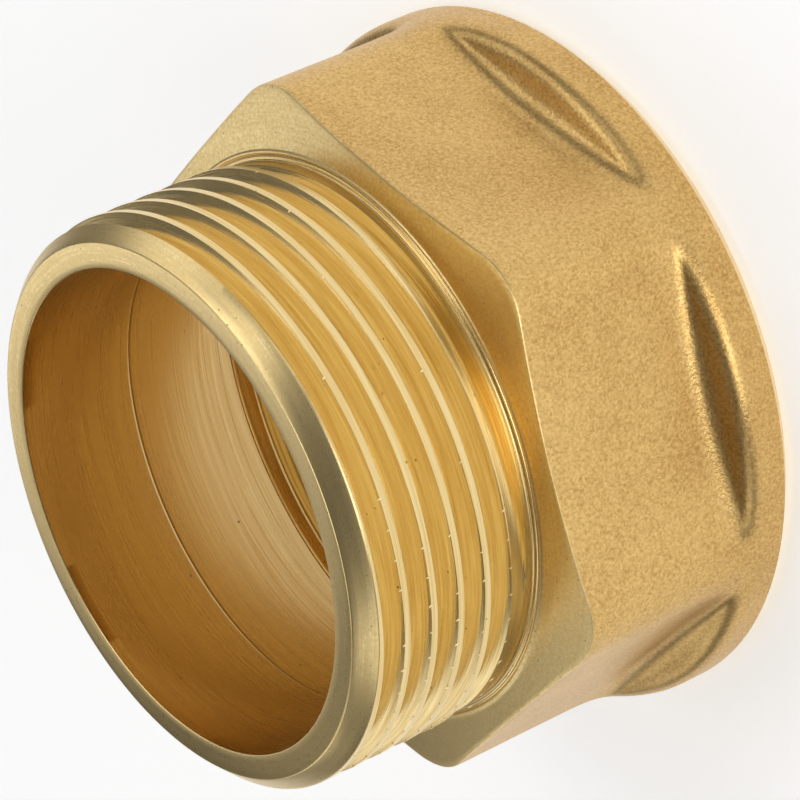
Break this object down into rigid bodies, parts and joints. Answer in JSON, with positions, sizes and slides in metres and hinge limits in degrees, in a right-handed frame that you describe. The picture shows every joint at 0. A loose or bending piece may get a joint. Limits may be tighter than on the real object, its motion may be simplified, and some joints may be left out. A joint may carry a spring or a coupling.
{
  "type": "threaded hexagon pipe fitting",
  "caption": "Brass hexagon pipe fitting with an outside pipe thread on a short spigot and an inside pipe thread in a round collared socket, bored right through.",
  "frame": {"origin": "middle of the socket's end face, which the fitting stands on", "axes": "+Z along the bore axis, from the socket to the spigot; two of the hexagon's flats face along X"},
  "size_m": [0.052, 0.052, 0.034],
  "materials": {
    "brass": "hot forged and shot blasted outside, turned on the threads, end faces and bore"
  },
  "bodies": {
    "root": {"fitting_body": "brass"}
  },
  "joints": []
}
